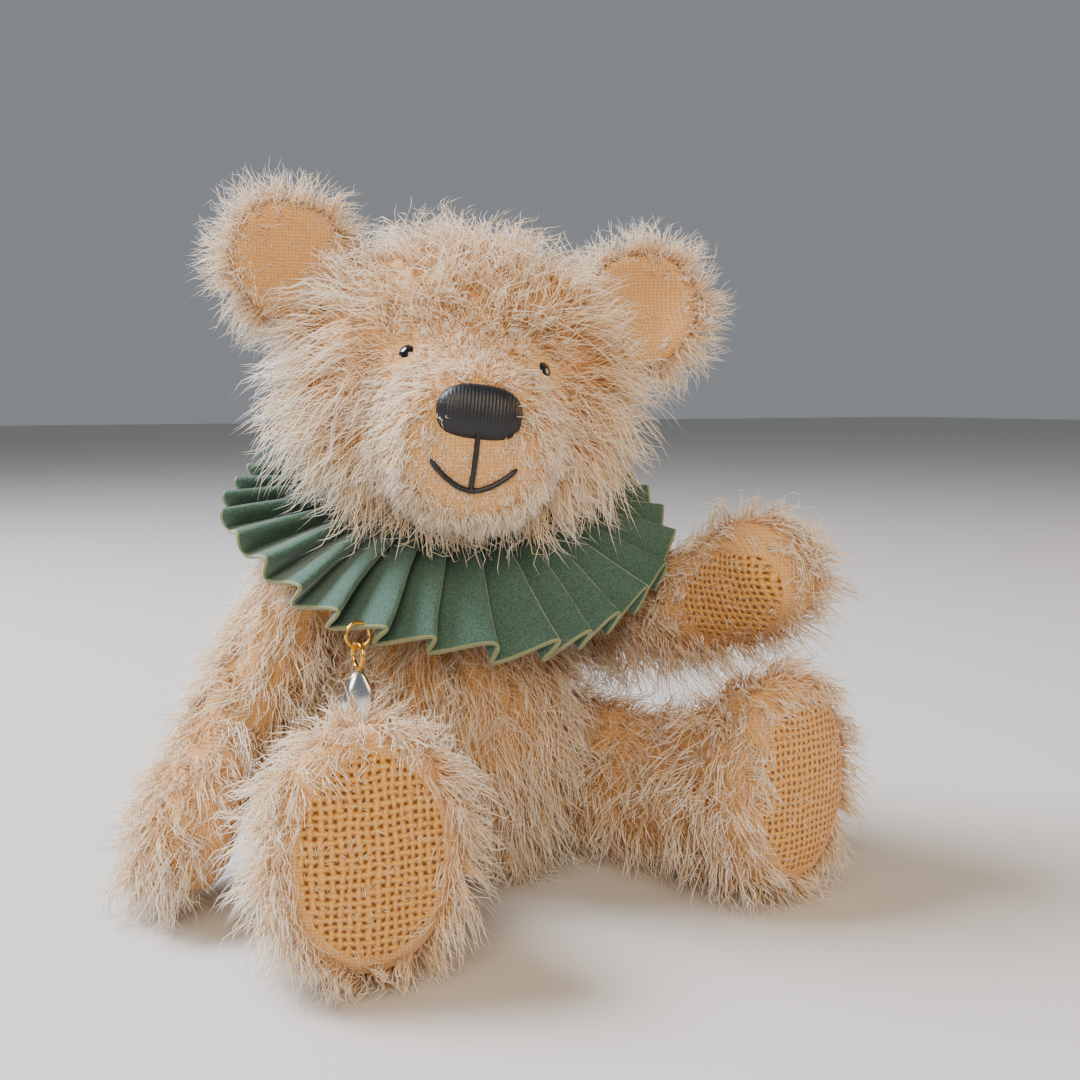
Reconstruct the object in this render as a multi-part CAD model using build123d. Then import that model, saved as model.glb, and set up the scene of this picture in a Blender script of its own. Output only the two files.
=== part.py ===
from build123d import *
from math import atan2, cos, degrees, pi, radians, sin
import os

# A small hand-sewn teddy bear with five disc joints, sitting, with a pleated ribbon ruff.
# Millimetres. +Z is up, the bear faces -Y, its own left is +X, and it sits on Z = 0.

# Cloth, and the parts of one joint
SKIN = 0.8                 # backing cloth of the mohair
JOINT_GAP = 0.3            # between the two cloths that a joint clamps
PIN_RADIUS = 0.6
PIN_CLEARANCE = 0.05
DISC_THICKNESS = 1.0
WASHER_RADIUS = 2.0
WASHER_THICKNESS = 0.3
CURL_RADIUS = 0.9          # crown curls of a split pin
CURL_WIRE = 0.35
EYE_RADIUS_PIN = 0.95      # eye of a split pin
HUGE = 200.0

# Torso: height, half width, half depth, middle towards the back
TORSO = [
    (0.0, 8.0, 9.0, 1.0), (2.5, 10.6, 13.2, 0.6), (7.0, 12.0, 15.8, -0.2), (13.0, 12.6, 17.0, -0.8),
    (20.0, 13.5, 17.2, -0.8), (27.0, 14.8, 16.4, -0.4), (33.0, 14.8, 14.8, 0.0),
    (39.0, 12.8, 12.4, 0.0), (44.0, 9.8, 9.8, -0.3), (49.0, 7.4, 7.6, -0.8), (52.5, 6.0, 6.2, -1.2),
]
STITCH_RADIUS = 0.35
STITCH_LENGTH = 3.0
CLOSING_HEIGHTS = [12.0 + 2.5 * step for step in range(9)]

# Neck joint: the axis leans forward and a little to the bear's right
NECK = Vector(0, -1.5, 49.5)
NECK_LEAN = 22.0
NECK_LEAN_SIDE = 15.0
NECK_DISC_RADIUS = 5.0

# Head: distance from its middle towards the nose, rise of the middle, half width, half height
HEAD = [
    (-17.6, 1.0, 3.2, 3.0), (-16.4, 0.8, 7.6, 7.0), (-13.0, 0.8, 13.6, 12.3), (-8.0, 0.5, 17.8, 15.6),
    (-2.0, 0.0, 19.7, 17.1), (4.0, -0.2, 19.2, 16.8), (9.0, -1.4, 16.4, 15.2), (13.0, -4.0, 12.6, 12.6),
    (17.0, -6.2, 10.2, 10.0), (20.5, -6.9, 8.8, 8.6), (22.6, -7.1, 6.4, 6.2), (23.4, -7.1, 3.6, 3.4),
]
HEAD_RISE = 16.2           # middle of the head above the neck joint, along its axis
HEAD_TURN = 20.0           # towards the bear's right
HEAD_ROLL = 7.0            # its left side lower
GUSSET_HALF_WIDTH = 5.0
GUSSET_LOW = -5.0
EYE_RADIUS = 1.7
EYE_PLACE = (7.7, -13.6, 2.0)
NOSE_HALF = (5.0, 1.9, 3.3)
NOSE_PLACE = (0.0, -23.0, -3.6)
MOUTH_WIRE = 0.45
MOUTH_TOP = -5.5
MOUTH_LOW = -12.6
MOUTH_DEPTH = -23.2
SMILE_HALF_WIDTH = 4.6
SMILE_RISE = 2.4
EAR_HALF = (7.3, 2.3, 8.0)
EAR_PLACE = (22.6, 0.5, 12.4)
EAR_LEAN = 38.0
EAR_CUP = 14.0

# Arms: distance along the bent centre line, height out from the joint, half width, half thickness
ARM = [
    (-7.4, 5.5, 2.4, 2.0), (-6.2, 5.5, 4.9, 4.0), (-3.2, 5.5, 7.1, 5.8), (1.0, 5.5, 7.8, 6.4),
    (8.0, 5.8, 7.6, 6.0), (16.0, 6.9, 6.9, 5.5), (23.0, 7.9, 6.5, 5.3), (30.0, 8.7, 6.9, 5.4),
    (36.0, 9.0, 7.7, 5.6), (41.0, 9.0, 7.3, 5.4), (44.6, 9.0, 5.0, 4.2), (46.0, 9.0, 2.6, 2.3),
]
ARM_CHORD = 36.0
ARM_BEND = 70.0
SHOULDER = Vector(12.2, 3.6, 36.2)
SHOULDER_UP = 24.0
SHOULDER_BACK = 18.0
ARM_SPLIT = 7.2            # seam between the outer and inner panels, out from the joint
ARM_DISC_RADIUS = 4.0
ARM_RAISED = {"left": 82.0, "right": 18.0}     # from hanging, towards the front
PAW_PAD = (37.5, 7.6, 5.2)                     # distance along, half length, half width
PAW_PAD_DEPTH = 6.4

# Legs: distance from the hip, rise, distance out, half thickness, half height
LEG = [
    (-10.3, 0.0, 5.4, 2.2, 3.2), (-9.0, 0.0, 5.4, 4.2, 6.0), (-5.0, 0.0, 5.4, 6.0, 9.3),
    (0.0, 0.0, 5.4, 6.5, 10.4), (8.0, -0.2, 5.7, 6.4, 9.9), (16.0, -0.4, 6.6, 6.3, 9.0),
    (26.0, 0.2, 7.4, 6.9, 8.8), (33.0, 1.8, 8.3, 8.4, 10.4), (38.0, 3.2, 8.5, 9.6, 12.6),
    (42.0, 3.9, 8.5, 10.0, 13.3), (44.6, 4.1, 8.5, 9.3, 12.7), (45.6, 4.1, 8.5, 8.2, 11.6),
]
HIP_OUT = 11.2
HIP_TOP = 22.5             # the torso swells over the thighs from here up
HIP_HEIGHT = 11.2
HIP_BACK = 12.0
HIP_FLAT_END = 15.0
LEG_SPLIT = 6.4
LEG_DISC_RADIUS = 5.4
SOLE_HALF = (6.8, 10.2)    # the foot pad, let into the flat of the sole

# Ruff: a shallow dished ring of pleats about the neck axis
RUFF_INNER = 12.0
RUFF_OUTER = 29.5
RUFF_RISE = 0.2
RUFF_FALL = -3.4
RUFF_HALF_THICKNESS = (1.1, 0.9)
THREAD_RADIUS = 0.35

# Charm on the edge of the ruff
CHARM_RING = Vector(-21.0, -19.0, 32.4)
CHARM_RING_RADIUS = 1.5
CHARM_WIRE = 0.3
CHARM_HALF = (2.1, 0.9, 3.4)
CLASP_RADIUS = 0.9


def oval(origin, across, along, half_across, half_other):
    """An ellipse across a path at origin, its first half size lying along across."""
    return Plane(origin=origin, x_dir=across, z_dir=along) * Ellipse(half_across, half_other)


def above(plane, height):
    """All of space on the outward side of a plane, from a height above it."""
    room = Box(HUGE, HUGE, HUGE, align=(Align.CENTER, Align.CENTER, Align.MIN))
    return plane.location * Pos(0, 0, height) * room


def below(plane, height):
    """All of space on the inward side of a plane, down from a height."""
    room = Box(HUGE, HUGE, HUGE, align=(Align.CENTER, Align.CENTER, Align.MAX))
    return plane.location * Pos(0, 0, height) * room


def inset(stations, sizes, step):
    """The same stations one cloth thickness further in: shorter at both ends, smaller all round."""
    low, high = stations[0][0], stations[-1][0]
    shrink = (high - low - 2 * step) / (high - low)
    result = []
    for station in stations:
        values = list(station)
        values[0] = low + step + (values[0] - low) * shrink
        for size in sizes:
            values[size] -= step
        result.append(tuple(values))
    return result


def rod(plane, radius, low, high):
    """A round rod along a plane's normal, between two heights."""
    bar = Cylinder(radius, high - low, align=(Align.CENTER, Align.CENTER, Align.MIN))
    return plane.location * Pos(0, 0, low) * bar


def save(shape, node):
    """Write one node, as one solid or a group of separate solids."""
    solids = shape.solids()
    export_step(solids[0] if len(solids) == 1 else Compound(children=solids), f"parts/{node}.step")


# Heights through one joint, counted from the middle of the gap between the two cloths
CLOTH = JOINT_GAP / 2
DISC_LOW = CLOTH + SKIN
DISC_HIGH = DISC_LOW + DISC_THICKNESS
WASHER_HIGH = DISC_HIGH + WASHER_THICKNESS
PIN_HIGH = WASHER_HIGH + 2 * (EYE_RADIUS_PIN + CURL_WIRE)
CURL_HEIGHT = -WASHER_HIGH - 0.9
PIN_LOW = CURL_HEIGHT - CURL_RADIUS - CURL_WIRE
HOLE = PIN_RADIUS + PIN_CLEARANCE
CAVITY_RADIUS = 2 * CURL_RADIUS + CURL_WIRE + 0.4
CAVITY_LOW = PIN_LOW - 0.4


def split_pin(plane):
    """A split pin: an eye outside, a shank, and two legs curled back inside."""
    shank = rod(plane, PIN_RADIUS, CURL_HEIGHT, WASHER_HIGH + CURL_WIRE)
    eye = Rot(90, 0, 0) * Torus(EYE_RADIUS_PIN, CURL_WIRE)
    eye = plane.location * Pos(0, 0, WASHER_HIGH + EYE_RADIUS_PIN + CURL_WIRE) * eye
    pin = shank + eye
    for way in (1, -1):
        ring = Pos(way * CURL_RADIUS, 0, CURL_HEIGHT) * Rot(90, 0, 0) * Torus(CURL_RADIUS, CURL_WIRE)
        lower = Pos(0, 0, CURL_HEIGHT) * Box(HUGE, HUGE, HUGE, align=(Align.CENTER, Align.CENTER, Align.MAX))
        pin += plane.location * (ring & lower)
    return pin


def disc(plane, radius, side):
    """A hardboard joint disc with its hole, inside one cloth: side 1 is the limb, -1 the torso."""
    low, high = sorted((side * DISC_LOW, side * DISC_HIGH))
    return rod(plane, radius, low, high) - rod(plane, HOLE, -HUGE, HUGE)


def washer(plane, side):
    """A steel washer on the inner face of a joint disc."""
    low, high = sorted((side * DISC_HIGH, side * WASHER_HIGH))
    return rod(plane, WASHER_RADIUS, low, high) - rod(plane, HOLE, -HUGE, HUGE)


def limb_cavity(plane, radius):
    """The room that a limb's disc, washer and pin eye take in its stuffing."""
    room = rod(plane, radius, DISC_LOW, DISC_HIGH) + rod(plane, WASHER_RADIUS, DISC_HIGH, WASHER_HIGH)
    return room + rod(plane, EYE_RADIUS_PIN + 2 * CURL_WIRE, WASHER_HIGH, PIN_HIGH + CURL_WIRE)


def torso_cavity(plane, radius):
    """The room that the torso's disc, washer and the turning pin curls take in its stuffing."""
    room = rod(plane, radius, -DISC_HIGH, -DISC_LOW) + rod(plane, WASHER_RADIUS, -WASHER_HIGH, -DISC_HIGH)
    return room + rod(plane, CAVITY_RADIUS, CAVITY_LOW, -WASHER_HIGH)


def lean(angle, side):
    """A unit vector that leans forward from +Z by angle, in a direction side degrees to the right."""
    tilt, turn = radians(angle), radians(side)
    return Vector(-sin(turn) * sin(tilt), -cos(turn) * sin(tilt), cos(tilt))


def neck_plane():
    """The neck joint, its normal pointing into the head."""
    return Plane(origin=NECK, x_dir=(1, 0, 0), z_dir=lean(NECK_LEAN, NECK_LEAN_SIDE))


def shoulder_axis():
    """The outward axis of the left shoulder."""
    up, back = radians(SHOULDER_UP), radians(SHOULDER_BACK)
    return Vector(cos(up) * cos(back), cos(up) * sin(back), sin(up))


def shoulder_plane(raised):
    """The left shoulder joint: normal outward, X along the chord of the arm when it is raised so far."""
    axis = shoulder_axis()
    front = Vector(0, -1, 0)
    front = (front - axis * front.dot(axis)).normalized()
    hanging = axis.cross(front)
    along = hanging * cos(radians(raised)) + front * sin(radians(raised))
    return Plane(origin=SHOULDER, x_dir=along, z_dir=axis)


def hip_plane():
    """The left hip joint: normal outward, X along the leg."""
    back = radians(HIP_BACK)
    axis = Vector(cos(back), sin(back), 0)
    return Plane(origin=axis * HIP_OUT + Vector(0, 0, HIP_HEIGHT), x_dir=(sin(back), -cos(back), 0), z_dir=axis)


def mirrored(shape, side):
    """A left piece as it is, or its mirror image on the right."""
    return shape if side == "left" else mirror(shape, about=Plane.YZ)


def torso_form(stations):
    """The pear-shaped torso through its level ovals."""
    return loft([oval((0, middle, height), (1, 0, 0), (0, 0, 1), wide, deep)
                 for height, wide, deep, middle in stations])


def torso():
    """The torso's panels, stuffing, closing stitches, discs and washers."""
    planes = {"neck": neck_plane()}
    radii = {"neck": NECK_DISC_RADIUS}
    for side in ("left", "right"):
        for joint, plane, radius in (
            ("shoulder", shoulder_plane(0), ARM_DISC_RADIUS), ("hip", hip_plane(), LEG_DISC_RADIUS),
        ):
            flip = 1 if side == "left" else -1
            origin, axis = plane.origin, plane.z_dir
            planes[f"{side}_{joint}"] = Plane(
                origin=(flip * origin.X, origin.Y, origin.Z), z_dir=(flip * axis.X, axis.Y, axis.Z))
            radii[f"{side}_{joint}"] = radius
    outer = torso_form(TORSO)
    inner = torso_form(inset(TORSO, (1, 2), SKIN))
    washers = []
    holes = []
    for name, plane in planes.items():
        reach = HIP_TOP if name.endswith("hip") else HUGE
        outer -= above(plane, -CLOTH) & below(Plane.XY, reach)
        inner -= above(plane, -DISC_LOW) & below(Plane.XY, reach + SKIN)
    stuffing = inner
    for name, plane in planes.items():
        holes.append(rod(plane, HOLE, -DISC_HIGH, DISC_HIGH))
        stuffing -= torso_cavity(plane, radii[name])
        save(disc(plane, radii[name], -1), f"{name}_torso_disc")
        washers.append(washer(plane, -1))
    for side, way in (("left", 1), ("right", -1)):
        panel = (outer & Pos(way * HUGE / 2, 0, 0) * Box(HUGE, HUGE, HUGE)) - inner
        for hole in holes:
            panel -= hole
        save(panel, f"torso_{side}_panel")
    save(stuffing, "torso_stuffing")
    save(Compound(children=washers), "torso_washers")
    save(closing_stitches(outer), "torso_closing_stitches")


def closing_stitches(body):
    """Ladder stitches across the back seam, lying on the cloth."""
    stitches = []
    for height in CLOSING_HEIGHTS:
        level = body & Pos(0, HUGE / 2, height) * Box(1, HUGE, STITCH_RADIUS)
        back = level.bounding_box().max.Y
        bar = Pos(0, back, height) * Rot(0, 90, 0) * Cylinder(STITCH_RADIUS, STITCH_LENGTH)
        stitches.append((bar - body).solids().sort_by(Axis.Y)[-1])
    return Compound(children=stitches)


def head_form(stations):
    """The head through upright ovals from the nape to the tip of the muzzle."""
    return loft([oval((0, -forward, rise), (0, 0, 1), (0, -1, 0), high, wide)
                 for forward, rise, wide, high in stations])


def head():
    """The head's panels, gusset, stuffing, ears, eyes, nose, mouth and its half of the neck joint."""
    plane = neck_plane()
    middle = NECK + plane.z_dir * HEAD_RISE
    place = Pos(middle.X, middle.Y, middle.Z) * Rot(0, 0, -HEAD_TURN) * Rot(0, HEAD_ROLL, 0)
    skull = head_form(HEAD)
    outer = place * skull & above(plane, CLOTH)
    inner = place * head_form(inset(HEAD, (2, 3), SKIN)) & above(plane, DISC_LOW)
    strip = place * Pos(0, 0, GUSSET_LOW) * Box(
        2 * GUSSET_HALF_WIDTH, HUGE, HUGE, align=(Align.CENTER, Align.CENTER, Align.MIN))
    save((outer & strip) - inner, "head_gusset")
    covered = outer - strip
    stuffing = inner - limb_cavity(plane, NECK_DISC_RADIUS)
    for side, way in (("left", 1), ("right", -1)):
        bead = place * Pos(way * EYE_PLACE[0], EYE_PLACE[1], EYE_PLACE[2]) * Sphere(EYE_RADIUS)
        half = place * Pos(way * HUGE / 2, 0, 0) * Box(HUGE, HUGE, HUGE)
        stuffing -= bead
        save((covered & half) - inner - bead - rod(plane, HOLE, 0, DISC_HIGH), f"head_{side}_panel")
        save(bead, f"{side}_eye")
        ear(side, way, skull, place)
    save(stuffing, "head_stuffing")
    nose = Pos(*NOSE_PLACE) * scale(Sphere(1), by=NOSE_HALF)
    save(place * (nose - skull), "nose")
    save(place * (mouth() - skull - nose), "mouth_stitches")
    save(disc(plane, NECK_DISC_RADIUS, 1), "head_disc")
    save(washer(plane, 1), "head_washer")
    save(split_pin(plane), "neck_split_pin")


def mouth():
    """One upright stitch below the nose and two curved ones that make a smile."""
    upright = Pos(0, MOUTH_DEPTH, (MOUTH_TOP + MOUTH_LOW) / 2) * Cylinder(MOUTH_WIRE, MOUTH_TOP - MOUTH_LOW)
    smile = ThreePointArc(
        (-SMILE_HALF_WIDTH, MOUTH_DEPTH + 2.0, MOUTH_LOW + SMILE_RISE), (0, MOUTH_DEPTH, MOUTH_LOW),
        (SMILE_HALF_WIDTH, MOUTH_DEPTH + 2.0, MOUTH_LOW + SMILE_RISE))
    thread = sweep(Plane(origin=smile @ 0, z_dir=smile % 0) * Circle(MOUTH_WIRE), path=smile)
    return upright + thread


def ear(side, way, skull, place):
    """One ear: two cupped layers, sewn to the skull along their lower edge."""
    whole = Pos(way * EAR_PLACE[0], EAR_PLACE[1], EAR_PLACE[2]) * Rot(0, way * EAR_LEAN, 0)
    whole = whole * Rot(0, 0, -way * EAR_CUP)
    form = whole * scale(Sphere(1), by=EAR_HALF) - skull
    front = whole * Box(HUGE, HUGE, HUGE, align=(Align.CENTER, Align.MAX, Align.CENTER))
    save(place * (form & front), f"{side}_ear_front")
    save(place * (form - front), f"{side}_ear_back")


def arm_path(distance):
    """A point and a direction on an arm's bent centre line, in the shoulder's plane."""
    half = radians(ARM_BEND / 2)
    radius = ARM_CHORD / (2 * sin(half))
    along = min(max(distance, 0), 2 * half * radius)
    turn = half - along / radius
    x = radius * (sin(half) - sin(turn))
    y = radius * (cos(turn) - cos(half))
    spare = distance - along
    return Vector(x + spare * cos(turn), y + spare * sin(turn), 0), Vector(cos(turn), sin(turn), 0)


def arm_form(stations):
    """An arm through ovals along its centre line."""
    sections = []
    for distance, out, wide, thick in stations:
        point, along = arm_path(distance)
        sections.append(oval(point + Vector(0, 0, out), Vector(0, 0, 1).cross(along), along, wide, thick))
    return loft(sections)


def limb(side, kind, plane, outer, inner, split, pad_tool, pad_node, disc_radius):
    """Save one limb: two panels, a pad let into them, stuffing, disc, washer and split pin."""
    local = Plane.XY
    cavity = limb_cavity(local, disc_radius)
    room = cavity + rod(local, HOLE, 0, DISC_LOW)
    covered = outer - pad_tool
    pieces = {
        f"{side}_{kind}_outer_panel": (covered & above(local, split)) - inner,
        f"{side}_{kind}_inner_panel": (covered & below(local, split)) - inner - room,
        f"{side}_{pad_node}": (outer & pad_tool) - inner,
        f"{side}_{kind}_stuffing": inner - cavity,
        f"{side}_{kind}_disc": disc(local, disc_radius, 1),
        f"{side}_{kind}_washer": washer(local, 1),
        f"{side}_{kind}_split_pin": split_pin(local),
    }
    for node, shape in pieces.items():
        save(mirrored(plane.location * shape, side), node)


def arm(side):
    """One arm, its paw pad let into the inner panel."""
    outer = arm_form(ARM) & above(Plane.XY, CLOTH)
    inner = arm_form(inset(ARM, (2, 3), SKIN)) & above(Plane.XY, DISC_LOW)
    distance, half_length, half_width = PAW_PAD
    point, along = arm_path(distance)
    turn = degrees(atan2(along.Y, along.X))
    tool = Pos(point.X, point.Y, 0) * Rot(0, 0, turn) * extrude(Ellipse(half_length, half_width), PAW_PAD_DEPTH)
    limb(side, "arm", shoulder_plane(ARM_RAISED[side]), outer, inner, ARM_SPLIT, tool, "paw_pad", ARM_DISC_RADIUS)


def leg_form(stations):
    """A leg through ovals from the thigh to the sole; Y points down."""
    return loft([oval((distance, -rise, out), (0, 0, 1), (1, 0, 0), thick, high)
                 for distance, rise, out, thick, high in stations])


def hip_flat(height):
    """The room beside the torso that the thigh is flattened against."""
    return Pos(-HUGE + HIP_FLAT_END, 0, height) * Box(
        HUGE, HUGE, HUGE, align=(Align.MIN, Align.CENTER, Align.MAX))


def leg(side):
    """One leg, its foot pad let into the sole."""
    outer = leg_form(LEG) - hip_flat(CLOTH)
    inner = leg_form(inset(LEG, (3, 4), SKIN)) - hip_flat(DISC_LOW)
    length, rise, out = LEG[-1][:3]
    sole = Plane(origin=(length - SKIN, -rise, out), x_dir=(0, 0, 1), z_dir=(1, 0, 0))
    tool = extrude(sole * Ellipse(*SOLE_HALF), SKIN)
    limb(side, "leg", hip_plane(), outer, inner, LEG_SPLIT, tool, "foot_pad", LEG_DISC_RADIUS)


def ruff():
    """The pleated ribbon as a dished ring, and the thread that gathers it."""
    plane = neck_plane()
    inner_half, outer_half = RUFF_HALF_THICKNESS
    outline = Polyline(
        (RUFF_INNER, 0, RUFF_RISE - inner_half), (RUFF_OUTER, 0, RUFF_FALL - outer_half),
        (RUFF_OUTER, 0, RUFF_FALL + outer_half), (RUFF_INNER, 0, RUFF_RISE + inner_half), close=True)
    save(plane.location * revolve(make_face(outline), Axis.Z), "ruff")
    thread = Pos(0, 0, RUFF_RISE) * Torus(RUFF_INNER - THREAD_RADIUS, THREAD_RADIUS)
    save(plane.location * thread, "ruff_gathering_thread")


def charm():
    """A drop-shaped silver charm, its gold ring, and a clasp ring that holds it to the ruff."""
    place = Pos(CHARM_RING.X, CHARM_RING.Y, CHARM_RING.Z)
    ring = place * Rot(0, 90, 0) * Torus(CHARM_RING_RADIUS, CHARM_WIRE)
    drop = Pos(0, 0, -CHARM_RING_RADIUS - CHARM_WIRE - CHARM_HALF[2]) * scale(Sphere(1), by=CHARM_HALF)
    save(ring, "charm_ring")
    save(place * drop, "charm_drop")
    clasp = Pos(0, 0, CHARM_RING_RADIUS + CHARM_WIRE + CLASP_RADIUS + CHARM_WIRE) * Torus(CLASP_RADIUS, CHARM_WIRE)
    save(place * clasp, "charm_clasp")


os.makedirs("parts", exist_ok=True)
torso()
head()
for side in ("left", "right"):
    arm(side)
    leg(side)
ruff()
charm()
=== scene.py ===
import math
import bpy
import numpy as np
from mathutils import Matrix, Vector


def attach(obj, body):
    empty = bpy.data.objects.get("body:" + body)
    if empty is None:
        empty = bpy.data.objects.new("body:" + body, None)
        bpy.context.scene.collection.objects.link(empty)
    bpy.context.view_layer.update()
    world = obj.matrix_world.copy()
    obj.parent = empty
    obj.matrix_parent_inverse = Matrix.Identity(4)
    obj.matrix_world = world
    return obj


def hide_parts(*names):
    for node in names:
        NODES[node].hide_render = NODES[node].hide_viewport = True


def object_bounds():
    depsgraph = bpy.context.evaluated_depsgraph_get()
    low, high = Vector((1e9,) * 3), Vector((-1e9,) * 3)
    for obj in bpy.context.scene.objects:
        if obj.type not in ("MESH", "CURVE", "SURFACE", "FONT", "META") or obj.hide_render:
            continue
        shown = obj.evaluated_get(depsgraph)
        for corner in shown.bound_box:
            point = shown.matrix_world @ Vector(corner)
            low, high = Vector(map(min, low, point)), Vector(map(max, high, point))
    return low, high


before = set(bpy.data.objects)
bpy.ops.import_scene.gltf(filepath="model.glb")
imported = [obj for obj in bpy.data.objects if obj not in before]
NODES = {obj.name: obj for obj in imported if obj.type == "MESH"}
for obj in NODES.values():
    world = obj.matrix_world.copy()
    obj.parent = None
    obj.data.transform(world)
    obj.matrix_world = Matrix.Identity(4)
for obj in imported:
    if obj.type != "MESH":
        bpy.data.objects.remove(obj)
cad_low, cad_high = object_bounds()
MM = 0.001


# --- Cloths --------------------------------------------------------------------------------
# The mohair is woven into a golden cotton ground, and the panels are cut from it. It shows between
# the locks and where the pile is clipped. The pads are a coarser, loosely woven ochre cotton.

def hex_colour(code):
    """A colour written as sRGB hex, turned to the linear values that a shader takes."""
    srgb = np.array([int(code[i:i + 2], 16) / 255 for i in (0, 2, 4)])
    linear = np.where(srgb <= 0.04045, srgb / 12.92, ((srgb + 0.055) / 1.055) ** 2.4)
    return (*linear.tolist(), 1.0)


def material(name, **values):
    """A new node material: itself, its tree and its principled shader, with uniform values set on it."""
    made = bpy.data.materials.new(name)
    made.use_nodes = True
    shader = next(node for node in made.node_tree.nodes if node.type == "BSDF_PRINCIPLED")
    for key, value in values.items():
        shader.inputs[key.replace("_", " ")].default_value = value
    return made, made.node_tree, shader


def add(tree, kind, inputs, **settings):
    """A node with its settings; an input is a value, or another node's output to link."""
    node = tree.nodes.new(kind)
    for key, value in settings.items():
        setattr(node, key, value)
    for key, value in inputs.items():
        if isinstance(value, bpy.types.NodeSocket):
            tree.links.new(value, node.inputs[key])
        else:
            node.inputs[key].default_value = value
    return node


def calc(tree, operation, first, second=0.0):
    """The output of one sum on two values."""
    return add(tree, "ShaderNodeMath", {0: first, 1: second}, operation=operation).outputs[0]


def ramp(tree, factor, *stops):
    """The output of a colour ramp over (place, hex colour) stops."""
    node = add(tree, "ShaderNodeValToRGB", {"Fac": factor})
    for number, (place, code) in enumerate(stops):
        if number >= 2:
            node.color_ramp.elements.new(place)
        node.color_ramp.elements[number].position = place
        node.color_ramp.elements[number].color = hex_colour(code)
    return node.outputs["Color"]


def bump(tree, shader, height, depth_mm):
    """Relief of that depth on a shader."""
    made = add(tree, "ShaderNodeBump", {"Height": height, "Distance": depth_mm * MM})
    tree.links.new(made.outputs[0], shader.inputs["Normal"])


def weave(name, thread_mm, axes, depth_mm, colours):
    """Plain weave: each thread is half a sine wave across, and rises where it passes over a crossing one; its colour
    is darker where it lies low, painted shade.
    """
    made, tree, shader = material(name, Roughness=0.9, Specular_IOR_Level=0.15, Sheen_Weight=0.25)
    place = add(tree, "ShaderNodeTexCoord", {}).outputs["Object"]
    uneven = add(tree, "ShaderNodeTexNoise", {"Vector": place, "Scale": 300.0, "Detail": 2.0})
    shift = add(tree, "ShaderNodeVectorMath", {0: uneven.outputs["Color"], "Scale": 1.1 * thread_mm * MM},
                operation="SCALE")
    bent = add(tree, "ShaderNodeVectorMath", {0: place, 1: shift.outputs[0]}, operation="ADD")
    parts = add(tree, "ShaderNodeSeparateXYZ", {0: bent.outputs[0]}).outputs
    per_metre = math.pi / (thread_mm * MM)
    warp, weft = (calc(tree, "SINE", calc(tree, "MULTIPLY", parts[axis], per_metre)) for axis in axes)
    over = calc(tree, "MULTIPLY", calc(tree, "MULTIPLY", warp, weft), 0.18)
    high_warp = calc(tree, "MULTIPLY", calc(tree, "ABSOLUTE", warp), calc(tree, "ADD", over, 0.8))
    high_weft = calc(tree, "MULTIPLY", calc(tree, "ABSOLUTE", weft), calc(tree, "SUBTRACT", 0.8, over))
    cloth = calc(tree, "MAXIMUM", high_warp, high_weft)
    fibre = add(tree, "ShaderNodeTexNoise", {"Vector": place, "Scale": 2500.0, "Detail": 3.0}).outputs["Fac"]
    height = calc(tree, "ADD", cloth, calc(tree, "MULTIPLY", calc(tree, "SUBTRACT", fibre, 0.5), 0.8))
    # The colour follows the height: thread crowns lighter, the low places between threads darker, painted shade on
    # the cloth's own tone.
    tree.links.new(ramp(tree, height, *zip((0.3, 0.6, 0.95), colours)), shader.inputs["Base Color"])
    bump(tree, shader, height, depth_mm)
    return made


# Golden cotton ground of the mohair, 0.42 mm threads, matt; its low places between threads are painted a little
# darker, painted shade on the cloth's own golden tone.
BACKING = weave("woven cotton backing", 0.42, "XZ", 0.06, ("BE8A52", "CC9A60", "D8AA70"))
# Coarse ochre cotton of the pads, 0.92 mm threads with the holes between them painted dark brown, painted shade; one
# turned for each way it faces.
# Ochre thread colours, and a dark brown for the holes that is painted shade.
OCHRES_WITH_PAINTED_HOLE_SHADE = ("6B3F17", "C98A3A", "E0AB5E")
SOLE_CLOTH = weave("coarse ochre cotton of the soles", 0.92, "XZ", 0.35, OCHRES_WITH_PAINTED_HOLE_SHADE)
PAW_CLOTH = weave("coarse ochre cotton of the paws", 0.92, "YZ", 0.35, OCHRES_WITH_PAINTED_HOLE_SHADE)


# --- Shapes --------------------------------------------------------------------------------
# Each stuffed piece is a smooth tube through the ovals that its panels are cut to, in millimetres,
# closed at both ends.

AROUND = 96
ROUND = np.linspace(0, 2 * np.pi, AROUND, endpoint=False)


def around(column):
    """A value for each ring, repeated for every place round it."""
    return np.repeat(column[:, None], AROUND, 1)


def stations(table, count=90):
    """A table's rows at many places, closer together at both ends, on a natural cubic through each column."""
    table = np.array(table, float)
    place, values = table[:, 0], table[:, 1:]
    gap = np.diff(place)
    system, right = np.eye(len(place)), np.zeros_like(values)
    inner = np.arange(1, len(place) - 1)
    system[inner, inner - 1], system[inner, inner + 1] = gap[:-1], gap[1:]
    system[inner, inner] = 2 * (gap[:-1] + gap[1:])
    right[inner] = 6 * np.diff(np.diff(values, axis=0) / gap[:, None], axis=0)
    curve = np.linalg.solve(system, right)
    spread = place[0] + (place[-1] - place[0]) * (1 - np.cos(np.linspace(0, np.pi, count))) / 2
    index = np.clip(np.searchsorted(place, spread) - 1, 0, len(gap) - 1)
    wide = gap[index][:, None]
    before = (place[index + 1] - spread)[:, None] / wide
    after = 1 - before
    bend = ((before ** 3 - before) * curve[index] + (after ** 3 - after) * curve[index + 1]) * wide ** 2 / 6
    return spread, (before * values[index] + after * values[index + 1] + bend).T


def smooth(value, low, high):
    """0 below low, 1 above high, and an even S between them."""
    share = np.clip((value - low) / (high - low), 0, 1)
    return share * share * (3 - 2 * share)


def unit(vectors):
    """Vectors made one long."""
    return vectors / np.maximum(np.linalg.norm(vectors, axis=-1, keepdims=True), 1e-9)


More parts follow.
